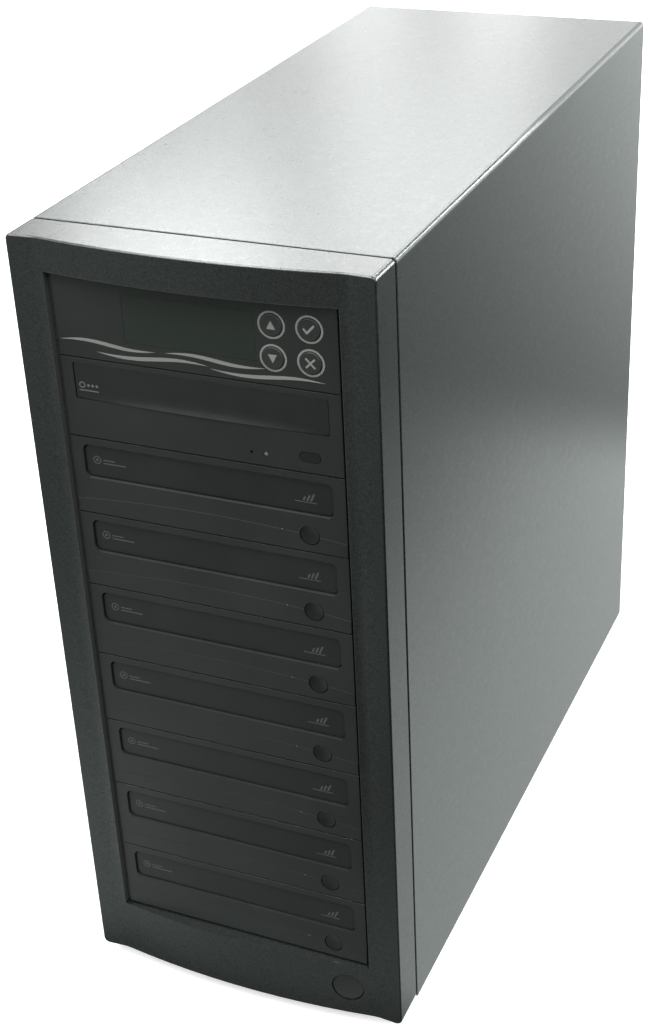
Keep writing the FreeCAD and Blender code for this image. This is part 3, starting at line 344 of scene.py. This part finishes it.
def window_mat():
    """Smoked acrylic window, slightly smeared."""
    m = Mat("display_window")
    n = m.noise(30.0, 3.0, 0.5)
    smear = m.noise(60.0, 4.0, 0.6, stretch=(1.0, 1.0, 3.0))
    c = m.mix(n, (0.040, 0.053, 0.041), (0.050, 0.066, 0.051))
    r = m.math("ADD", m.math("MULTIPLY", smear, 0.14), 0.10)
    m.set(color=c, rough=r, trans=0.55, ior=1.49, spec=0.4)
    return m.m


def display_mat():
    """Green board, black metal frame and grey-green glass of the display module."""
    m = Mat("display_module")
    x, y, z = m.xyz()
    lo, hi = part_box("lcd_module")
    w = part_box("lcd_window")
    wx0, wx1, wz0, wz1 = w[0][0] - 0.001, w[1][0] + 0.001, w[0][2] - 0.001, w[1][2] + 0.001
    inside = m.math("MULTIPLY", m.between(x, wx0, wx1), m.between(z, wz0, wz1))
    front = m.math("LESS_THAN", y, lo[1] + 0.003)
    frame_mask = m.math("MULTIPLY", inside, front)
    gx = m.between(x, w[0][0] + 0.0030, w[1][0] - 0.0030)
    gz = m.between(z, w[0][2] + 0.0035, w[1][2] - 0.0035)
    glass = m.math("MULTIPLY", m.math("MULTIPLY", gx, gz), front)
    fine = m.noise(900.0, 2.0, 0.5)
    board = m.mix(fine, (0.012, 0.10, 0.045), (0.02, 0.15, 0.06))
    metal = m.mix(fine, (0.010, 0.010, 0.010), (0.02, 0.02, 0.02))
    lcd = m.mix(m.noise(40.0, 2.0, 0.5), (0.07, 0.15, 0.05), (0.09, 0.18, 0.07))
    c = m.mix(frame_mask, board, metal)
    c = m.mix(glass, c, lcd)
    r = m.math("ADD", m.math("MULTIPLY", m.noise(200.0), 0.15), 0.25)
    m.set(color=c, rough=r, normal=m.bump(fine, 0.1, 0.00002))
    return m.m


def board_mat():
    m = Mat("circuit_board")
    x, y, z = m.xyz()
    lo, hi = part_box("controller_board")
    chips = m.math("GREATER_THAN", z, lo[2] + 0.0018)
    traces = m.ramp(m.noise(500.0, 1.0, 0.3, stretch=(1.0, 6.0, 1.0)), [(0.48, 0.0), (0.52, 1.0)])
    green = m.mix(traces, (0.010, 0.10, 0.045), (0.025, 0.17, 0.075))
    fine = m.noise(700.0)
    black = m.mix(fine, (0.018, 0.018, 0.019), (0.035, 0.035, 0.036))
    m.set(color=m.mix(chips, green, black), rough=m.math("ADD", m.math("MULTIPLY", fine, 0.2), 0.3),
          normal=m.bump(traces, 0.15, 0.00003))
    return m.m


def inlet_mat():
    """Black moulding; the three blades inside the socket are bright metal."""
    m = Mat("inlet_plastic")
    x, y, z = m.xyz()
    lo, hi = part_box("psu_inlet")
    sx, sz = lo[0] + 0.0165, (lo[2] + hi[2]) / 2
    yb = hi[1] - 0.0025
    masks = None
    for dx, z0, z1 in ((-0.007, -0.0018, 0.0022), (0.007, -0.0018, 0.0022), (0.0, -0.0062, -0.0022)):
        k = m.math("MULTIPLY", m.between(x, sx + dx - 0.00102, sx + dx + 0.00102), m.between(z, sz + z0 - 0.00003, sz + z1 + 0.00003))
        masks = k if masks is None else m.math("MAXIMUM", masks, k)
    deep = m.between(y, hi[1] - 0.0170, hi[1] - 0.0018)
    metal = m.math("MULTIPLY", masks, deep)
    g = m.noise(1200.0, 2.0, 0.5)
    c = m.mix(g, (0.016, 0.016, 0.016), (0.028, 0.028, 0.028))
    brass = m.mix(g, (0.62, 0.60, 0.56), (0.78, 0.76, 0.72))
    m.set(color=m.mix(metal, c, brass), metal=metal,
          rough=m.math("ADD", m.math("MULTIPLY", g, 0.15), 0.28), normal=m.bump(g, 0.15, 0.00002))
    return m.m


def rocker_mat():
    m = Mat("rocker_plastic")
    g = m.noise(1400.0, 2.0, 0.5)
    c = m.mix(g, (0.014, 0.014, 0.014), (0.024, 0.024, 0.024))
    m.set(color=c, rough=m.math("ADD", m.math("MULTIPLY", g, 0.1), 0.2), normal=m.bump(g, 0.1, 0.00002))
    return m.m


def cable_mat():
    m = Mat("cable_jacket")
    x, y, z = m.xyz()
    lo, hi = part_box("cable_loom")
    harness = m.math("MAXIMUM", m.math("GREATER_THAN", y, 0.0275), m.math("MULTIPLY", m.between(x, 0.0345, 0.0415), m.math("LESS_THAN", z, 0.392)))
    g = m.noise(300.0, 3.0, 0.6)
    red = m.mix(g, (0.30, 0.012, 0.010), (0.42, 0.02, 0.015))
    black = m.mix(g, (0.012, 0.012, 0.012), (0.03, 0.03, 0.03))
    m.set(color=m.mix(harness, red, black), rough=m.math("ADD", m.math("MULTIPLY", g, 0.15), 0.35), normal=m.bump(g, 0.1, 0.00003))
    return m.m


def print_mat(name, base, rough=0.45):
    """Silk-screened ink: slightly uneven cover."""
    m = Mat(name)
    g = m.noise(2500.0, 3.0, 0.7)
    c = m.mix(m.ramp(g, [(0.3, 0.0), (0.7, 1.0)]), shade(base, 0.80), shade(base, 1.12))
    m.set(color=c, rough=m.math("ADD", m.math("MULTIPLY", g, 0.15), rough - 0.07), normal=m.bump(g, 0.1, 0.00001))
    return m.m


M_SCREW = screw_mat()
M_WINDOW = window_mat()
M_DISPLAY = display_mat()
M_BOARD = board_mat()
M_INLET = inlet_mat()
M_ROCKER = rocker_mat()
M_CABLE = cable_mat()
M_PRINT = print_mat("panel_print", (0.245, 0.248, 0.228))
M_PRINT_DIM = print_mat("mark_print", (0.078, 0.083, 0.073))
M_PRINT_MID = print_mat("reader_mark_print", (0.13, 0.135, 0.125))
M_KEYMARK = print_mat("key_print", (0.25, 0.252, 0.235))


def dress(node, mat):
    o = NODES[node]
    if o.data.materials:
        for i in range(len(o.data.materials)):
            o.data.materials[i] = mat
    else:
        o.data.materials.append(mat)


dress("cover_wrap", M_COVER)
dress("front_bezel", M_BEZEL)
for n in ("base_pan", "rear_panel", "bay_frame"):
    dress(n, M_STEEL)
dress("feet", M_FOOT)
dress("rear_screws", M_SCREW)
dress("drive_screws", M_SCREW)
dress("controller_faceplate", M_FACE)
dress("controller_bracket", M_CASE)
dress("controller_board", M_BOARD)
dress("lcd_module", M_DISPLAY)
dress("lcd_window", M_WINDOW)
for k in ("button_up", "button_down", "button_enter", "button_escape"):
    dress(k, M_KEY)
for d in DRIVES:
    dress(d + "_case", M_CASE)
    dress(d + "_faceplate", M_FACE)
    dress(d + "_tray", M_TRAY)
    dress(d + "_eject_button", M_EJECT)
# the reader faceplate's top edge is painted dark, a painted shade under the controller
dress("reader_faceplate", moulded("reader_face_plastic", (0.0138, 0.0158, 0.0146), 0.40, dust=0.03, spec=0.7, tint=DARK_TINT,
                                  shaded_edge_above=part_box("reader_faceplate")[1][2] - 0.00045))
dress("drive_mechanisms", M_MECH)
dress("power_button", M_POWER)
dress("power_switch", M_SWITCH)
dress("psu_case", M_PSU)
for n in ("psu_fan_frame", "psu_fan_impeller", "rear_fan_frame", "rear_fan_impeller"):
    dress(n, M_FAN)
dress("psu_inlet", M_INLET)
dress("psu_rocker", M_ROCKER)
dress("cable_loom", M_CABLE)

# =============================================================================
# printed graphics of the controller
# =============================================================================
INK = 0.00006
face_lo, face_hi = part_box("controller_faceplate")
panel_y = face_lo[1]


KEY_NODES = ("button_up", "button_enter", "button_down", "button_escape")
KEY_MID = {}
for k in KEY_NODES:
    lo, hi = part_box(k)
    KEY_MID[k] = ((lo[0] + hi[0]) / 2, (lo[2] + hi[2]) / 2)
RING_IN, RING_OUT = 0.00578, 0.00676


def clear_of_keys(x, z):
    return all((x - cx) ** 2 + (z - cz) ** 2 > (RING_OUT + 0.00002) ** 2 for cx, cz in KEY_MID.values())


def flowing_lines():
    """Four separate tapered strokes in two staggered rows along the foot of the panel."""
    bm = bmesh.new()
    base = face_lo[2] - 0.0003
    # left end, right end, mid height above the bay line, swell, phase, widest
    strokes = [(-0.0712, -0.0205, 0.0087, 0.00115, 0.02, 0.00185),
               (-0.0520, 0.0065, 0.0046, 0.00120, 0.52, 0.00200),
               (-0.0150, 0.0362, 0.0083, 0.00110, 0.04, 0.00190),
               (0.0080, 0.0655, 0.0040, 0.00115, 0.50, 0.00185)]
    for x0, x1, z0, swell, phase, w in strokes:
        n = 120
        run = []

        def flush(run):
            if len(run) > 2:
                up = [(x, z + h) for x, z, h in run]
                dn = [(x, z - h) for x, z, h in run]
                plate_from_loops(bm, [dn + up[::-1]], panel_y, INK)
        for i in range(n + 1):
            t = i / n
            x = x0 + (x1 - x0) * t
            z = base + z0 + swell * math.sin(2 * math.pi * (0.92 * t + phase))
            h = 0.5 * max(0.00012, w * math.sin(math.pi * t) ** 0.8)
            if clear_of_keys(x, z + h) and clear_of_keys(x, z - h):
                run.append((x, z, h))
            else:
                flush(run)
                run = []
        flush(run)
    o = new_object("controller_lines", bm, M_PRINT, smooth=False)
    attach(o, "case")


flowing_lines()

bm = bmesh.new()
for key in KEY_NODES:
    cx, cz = KEY_MID[key]
    plate_from_loops(bm, [circle(cx, cz, RING_OUT, 72), circle(cx, cz, RING_IN, 72)], panel_y, INK)
rings = new_object("key_rings", bm, M_PRINT, smooth=False)
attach(rings, "case")


def key_icon(node, shapes):
    lo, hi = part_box(node)
    cx, cz, y = (lo[0] + hi[0]) / 2, (lo[2] + hi[2]) / 2, lo[1]
    b = bmesh.new()
    for loops in shapes:
        plate_from_loops(b, [[(cx + x, cz + z) for x, z in loop] for loop in loops], y, INK)
    o = new_object(node + "_mark", b, M_KEYMARK, smooth=False)
    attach(o, node)


k = 0.001
key_icon("button_up", [[[(-2.2 * k, -1.9 * k), (2.2 * k, -1.9 * k), (0, 2.3 * k)]]])
key_icon("button_down", [[[(-2.2 * k, 1.9 * k), (0, -2.3 * k), (2.2 * k, 1.9 * k)]]])
# a tick for enter and a cross for escape
key_icon("button_enter", [[[(-3.0 * k, 0.1 * k), (-0.9 * k, -2.3 * k), (3.1 * k, 2.0 * k), (2.3 * k, 2.7 * k),
                            (-0.9 * k, -0.8 * k), (-2.3 * k, 0.8 * k)]]])
c, s = 2.6 * k, 0.62 * k
key_icon("button_escape", [[[(-c, -c + s), (-c + s, -c), (0, -s), (c - s, -c), (c, -c + s), (s, 0), (c, c - s), (c - s, c),
                             (0, s), (-c + s, c), (-c, c - s), (-s, 0)]]])

# =============================================================================
# display cells behind the window
# =============================================================================
def display_cells():
    m = Mat("display_cells")
    g = m.noise(800.0)
    m.set(color=m.mix(g, (0.045, 0.095, 0.035), (0.060, 0.115, 0.045)), rough=m.math("ADD", m.math("MULTIPLY", g, 0.2), 0.3))
    lo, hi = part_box("lcd_window")
    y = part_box("lcd_module")[0][1] + 0.0009
    b = bmesh.new()
    cx0, cx1 = lo[0] + 0.0065, hi[0] - 0.0065
    cw = (cx1 - cx0) / 16
    ch = 0.0056
    zc = (lo[2] + hi[2]) / 2
    for row in (0, 1):
        z0 = zc + (0.0005 if row == 0 else -0.0005 - ch)
        for i in range(16):
            x0 = cx0 + i * cw + 0.00028
            x1 = x0 + cw - 0.00056
            plate_from_loops(b, [[(x0, z0), (x1, z0), (x1, z0 + ch), (x0, z0 + ch)]], y, 0.00004)
    o = new_object("display_cells", b, m.m, smooth=False)
    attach(o, "case")


display_cells()

# =============================================================================
# small generic marks on the drive doors, and indicator lenses
# =============================================================================
def reader_mark(lo, flo):
    """A plain ring beside three dots, over one hairline, low on the left of the reader's door."""
    y = flo[1] + 0.0004
    b = bmesh.new()
    x, z = lo[0] + 0.0020, flo[2] + 0.0278
    plate_from_loops(b, [circle(x + 0.0017, z, 0.0017, 36), circle(x + 0.0017, z, 0.0011, 36)], y, INK)
    for i in range(3):
        plate_from_loops(b, [circle(x + 0.0051 + 0.0023 * i, z, 0.00075, 20)], y, INK)
    plate_from_loops(b, [[(x, z - 0.0031), (x + 0.0105, z - 0.0031), (x + 0.0105, z - 0.0025), (x, z - 0.0025)]], y, INK)
    o = new_object("reader_door_marks", b, M_PRINT_MID, smooth=False)
    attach(o, "reader_tray")


def door_marks(d):
    lo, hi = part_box(d + "_tray")
    flo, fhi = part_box(d + "_faceplate")
    if d == "reader":
        reader_mark(lo, flo)
        return
    y = lo[1]
    zc = flo[2] + 0.0285
    b = bmesh.new()
    x = lo[0] + 0.0042
    # a plain disc pictogram with two hairlines, low on the left
    plate_from_loops(b, [circle(x + 0.0022, zc + 0.0012, 0.0022, 40), circle(x + 0.0022, zc + 0.0012, 0.0017, 40)], y, INK)
    plate_from_loops(b, [circle(x + 0.0022, zc + 0.0012, 0.0007, 24)], y, INK)
    plate_from_loops(b, [[(x + 0.0056, zc + 0.0012), (x + 0.0120, zc + 0.0012), (x + 0.0120, zc + 0.0018), (x + 0.0056, zc + 0.0018)]], y, INK)
    plate_from_loops(b, [[(x + 0.0056, zc - 0.0005), (x + 0.0180, zc - 0.0005), (x + 0.0180, zc + 0.0001), (x + 0.0056, zc + 0.0001)]], y, INK)
    # three slanted bars on the right
    xr = hi[0] - 0.0160
    zr = flo[2] + 0.0268
    for i in range(3):
        x0 = xr + i * 0.0019
        h = 0.0022 + 0.0009 * i
        plate_from_loops(b, [[(x0, zr), (x0 + 0.0010, zr), (x0 + 0.0010 + h * 0.45, zr + h), (x0 + h * 0.45, zr + h)]], y, INK)
    plate_from_loops(b, [[(xr - 0.0042, zr - 0.0010), (xr + 0.0072, zr - 0.0010), (xr + 0.0072, zr - 0.0006), (xr - 0.0042, zr - 0.0006)]], y, INK)
    o = new_object(d + "_door_marks", b, M_PRINT_DIM, smooth=False)
    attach(o, d + "_tray")


for d in DRIVES:
    door_marks(d)


def lens_mat(name, lo, hi):
    m = Mat(name)
    g = m.noise(900.0)
    m.set(color=m.mix(g, lo, hi), rough=m.math("ADD", m.math("MULTIPLY", g, 0.1), 0.15), trans=0.2, ior=1.5)
    return m.m


def dome_lens(name, cx, cz, r, y, body, mat):
    b = bmesh.new()
    rings_, seg, n = [], 28, 6
    for j in range(n + 1):
        a = (math.pi / 2) * j / n
        rr, yy = r * math.cos(a), y - 0.35 * r * math.sin(a)
        rings_.append([b.verts.new((cx + rr * math.cos(2 * math.pi * i / seg), yy, cz + rr * math.sin(2 * math.pi * i / seg))) for i in range(seg)] if j < n
                      else [b.verts.new((cx, yy, cz))])
    back = [b.verts.new((cx + r * math.cos(2 * math.pi * i / seg), y + 0.0022, cz + r * math.sin(2 * math.pi * i / seg))) for i in range(seg)]
    for i in range(seg):
        k2 = (i + 1) % seg
        b.faces.new((back[i], back[k2], rings_[0][k2], rings_[0][i]))
        for j in range(n - 1):
            b.faces.new((rings_[j][i], rings_[j][k2], rings_[j + 1][k2], rings_[j + 1][i]))
        b.faces.new((rings_[n - 1][i], rings_[n - 1][k2], rings_[n][0]))
    b.faces.new(back[::-1])
    bmesh.ops.recalc_face_normals(b, faces=b.faces[:])
    o = new_object(name, b, mat)
    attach(o, body)
    return o


M_LENS = lens_mat("indicator_lens", (0.20, 0.205, 0.20), (0.27, 0.275, 0.265))
M_LENS_DIM = lens_mat("writer_indicator_lens", (0.10, 0.105, 0.10), (0.14, 0.145, 0.14))
flo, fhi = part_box("reader_faceplate")
dome_lens("reader_indicator", 0.0334, flo[2] - 0.0003 + 0.0066, 0.00120, flo[1] + 0.0006, "case", M_LENS)
for d in DRIVES[1:]:
    wlo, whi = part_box(d + "_faceplate")
    dome_lens(d + "_indicator", 0.0390, wlo[2] - 0.0003 + 0.0098, 0.00072, wlo[1] + 0.0004, "case", M_LENS_DIM)

# =============================================================================
# floor, light, camera
# =============================================================================
def stage_mesh(name, bm, mat):
    me = bpy.data.meshes.new(name)
    bm.to_mesh(me)
    bm.free()
    o = bpy.data.objects.new(name, me)
    bpy.context.collection.objects.link(o)
    me.materials.append(mat)
    return o


def only_camera(o):
    o.visible_diffuse = False
    o.visible_glossy = False
    o.visible_transmission = False
    o.visible_shadow = False


def emitter(m, strength, colour=(1.0, 1.0, 1.0)):
    """Turns a Mat into a light surface whose strength may vary over it."""
    e = m.t.nodes.new("ShaderNodeEmission")
    e.inputs["Color"].default_value = (*colour, 1)
    if isinstance(strength, (int, float)):
        e.inputs["Strength"].default_value = strength
    else:
        m.link(strength, e.inputs["Strength"])
    m.link(e.outputs[0], m.out.inputs[0])
    m.t.nodes.remove(m.b)
    return m.m


def pale_floor():
    """The floor that is seen: pale paper that takes the soft shadows."""
    m = Mat("studio_floor")
    g = m.noise(3.0, 3.0, 0.5)
    x, y, z = m.xyz()
    away = m.math("SQRT", m.math("ADD", m.math("MULTIPLY", x, x), m.math("MULTIPLY", y, y)))
    # paper that is lit evenly to its far edge
    rise = m.t.nodes.new("ShaderNodeMapRange")
    rise.interpolation_type = "SMOOTHSTEP"
    for key, v in (("From Min", 0.8), ("From Max", 3.6), ("To Min", 0.50), ("To Max", 0.74)):
        rise.inputs[key].default_value = v
    m.link(away, rise.inputs["Value"])
    m.set(color=m.mix(g, (0.79, 0.79, 0.79), (0.82, 0.82, 0.82)), rough=0.8, emit=(1.0, 1.0, 1.0), emit_s=rise.outputs["Result"])
    b = bmesh.new()
    bmesh.ops.create_grid(b, x_segments=8, y_segments=8, size=8.0)
    o = stage_mesh("studio_floor", b, m.m)
    o.location = (0, 0, FLAT_BOTTOM)
    only_camera(o)


def backdrop():
    """Pale curved backdrop all round, beyond the lights."""
    b = bmesh.new()
    bmesh.ops.create_uvsphere(b, u_segments=48, v_segments=24, radius=8.0)
    o = stage_mesh("studio_backdrop", b, emitter(Mat("studio_backdrop"), 0.93))
    only_camera(o)


COOL = (0.95, 1.0, 0.985)


def bounce_table():
    """The lit table top that the sides reflect: a white card under and beside
    the case, a bright patch behind it, and a dark cloth further off."""
    m = Mat("studio_bounce")
    x, y, z = m.xyz()

    def edge(v, at, soft, falling=True):
        a, b_ = (at - soft, at + soft)
        n = m.t.nodes.new("ShaderNodeMapRange")
        n.interpolation_type = "SMOOTHSTEP"
        n.inputs["From Min"].default_value = a
        n.inputs["From Max"].default_value = b_
        n.inputs["To Min"].default_value = 1.0 if falling else 0.0
        n.inputs["To Max"].default_value = 0.0 if falling else 1.0
        m.link(v, n.inputs["Value"])
        return n.outputs["Result"]

    def bell(v, mid, wide):
        q = m.math("DIVIDE", m.math("SUBTRACT", v, mid), wide)
        return m.math("EXPONENT", m.math("MULTIPLY", m.math("MULTIPLY", q, q), -1.0))

    behind_front = edge(y, -0.205, 0.03, falling=False)
    card = m.math("MULTIPLY", m.math("MULTIPLY", edge(x, 0.30, 0.06), edge(y, 0.52, 0.08)), behind_front)
    patch = m.math("MULTIPLY", bell(x, 0.10, 0.32), bell(y, 2.06, 1.04))
    ahead = edge(y, -0.237, 0.02)
    close = m.math("MULTIPLY", m.math("MULTIPLY", ahead, edge(y, -0.36, 0.10, falling=False)), edge(x, 0.20, 0.10))
    left = m.math("MULTIPLY", m.math("MULTIPLY", ahead, edge(y, -0.58, 0.20, falling=False)), edge(x, -0.09, 0.10))
    far = m.math("MULTIPLY", edge(y, -0.66, 0.16), edge(y, -1.9, 0.4, falling=False))
    far = m.math("MULTIPLY", far, m.math("ADD", m.math("MULTIPLY", edge(x, -0.40, 0.25), 0.15), 0.10))
    aside = m.math("MULTIPLY", edge(x, 1.10, 0.20, falling=False), 0.5)
    total = m.math("MULTIPLY", card, 0.84)
    total = m.math("ADD", total, m.math("MULTIPLY", patch, 3.6))
    total = m.math("ADD", total, m.math("MULTIPLY", close, 0.20))
    total = m.math("ADD", total, m.math("MULTIPLY", left, 0.40))
    total = m.math("ADD", total, far)
    total = m.math("ADD", total, aside)
    total = m.math("ADD", total, 0.06)
    b = bmesh.new()
    bmesh.ops.create_grid(b, x_segments=4, y_segments=4, size=6.0)
    o = stage_mesh("studio_bounce", b, emitter(m, total, COOL))
    o.location = (0, 0, FLAT_BOTTOM - 0.0005)
    o.visible_camera = False
    o.visible_shadow = False


pale_floor()
backdrop()
bounce_table()


def softbox(name, azimuth, elevation, distance, size, power, anchor=(0, 0, 0.3), aim=(0, 0, 0.3), colour=(1.0, 1.0, 1.0)):
    """Area light seen from anchor at that azimuth (from +Y towards +X) and elevation."""
    a, e = math.radians(azimuth), math.radians(elevation)
    loc = Vector(anchor) + distance * Vector((math.sin(a) * math.cos(e), math.cos(a) * math.cos(e), math.sin(e)))
    l = bpy.data.lights.new(name, "AREA")
    l.shape = "RECTANGLE"
    l.size, l.size_y = size
    l.energy = power
    l.color = colour
    o = bpy.data.objects.new(name, l)
    bpy.context.collection.objects.link(o)
    o.location = loc
    o.rotation_euler = (Vector(aim) - loc).to_track_quat("-Z", "Y").to_euler()
    o.visible_camera = False
    return o


# window light from behind, in panes as the top reflects it
TOP_FRONT = (0, -0.2, 0.44)
for i, (az, el, w) in enumerate([(-29.8, 25.2, 5.0), (-6, 25, 3.85), (-18, 25, 2.5), (-36, 33, 1.2), (-18, 19, 1.0),
                                 (-36, 25, 0.68), (-12, 9, 0.75), (-24, 9, 0.7), (-18, 9, 0.6)]):
    softbox("window_pane_%d" % i, az, el, 2.2, (0.36, 0.34 if el > 20 else 0.26), w, TOP_FRONT)
softbox("over_edge_a", -38, 48, 2.2, (0.45, 0.45), 6.0, TOP_FRONT)
softbox("over_edge_b", -70, 66, 2.2, (0.55, 0.55), 16.0, TOP_FRONT)
softbox("over_edge_c", -135, 60, 2.2, (0.5, 0.5), 14.0, TOP_FRONT)
softbox("over_edge_d", 8, 43, 2.2, (0.4, 0.4), 6.5, TOP_FRONT)
softbox("over_edge_e", 9, 36, 2.2, (0.4, 0.3), 7.0, TOP_FRONT)
softbox("low_front", -151, 20, 3.0, (1.3, 0.5), 5.2)
softbox("front_left", -150, 50, 3.2, (2.6, 2.6), 66)
softbox("front_right", 128, 44, 3.2, (2.0, 2.0), 62)
softbox("back_right", 18, 6, 2.4, (1.0, 0.8), 101, (0.1, 0.1, 0.3), colour=COOL)
softbox("side_right", 92, 12, 3.0, (2.4, 1.6), 18, colour=COOL)
softbox("side_left", -92, 12, 3.0, (2.4, 1.6), 18, colour=COOL)

world = bpy.data.worlds.new("studio")
bpy.context.scene.world = world
world.use_nodes = True
bg = world.node_tree.nodes["Background"]
bg.inputs[0].default_value = (1.0, 1.0, 1.0, 1)
bg.inputs[1].default_value = 0.26

scene = bpy.context.scene
scene.view_settings.view_transform = "Standard"

cam = bpy.data.cameras.new("photo_view")
cam.sensor_fit = "AUTO"
cam.sensor_width = 36.0
cam.lens = 36.0 * 1773.7 / 1028.0
cam.clip_start = 0.05
cam.clip_end = 50
co = bpy.data.objects.new("photo_view", cam)
bpy.context.collection.objects.link(co)
# the camera's right, up and back axes, and where it stands
RIGHT = (0.916050, 0.398428, -0.045913)
UP = (-0.158362, 0.464505, 0.871296)
BACK = (0.368476, -0.790879, 0.488605)
EYE = (0.367396, -0.870463, 0.724412)
co.matrix_world = Matrix([[RIGHT[i], UP[i], BACK[i], EYE[i]] for i in range(3)] + [[0, 0, 0, 1]])
scene.camera = co

bpy.context.view_layer.update()
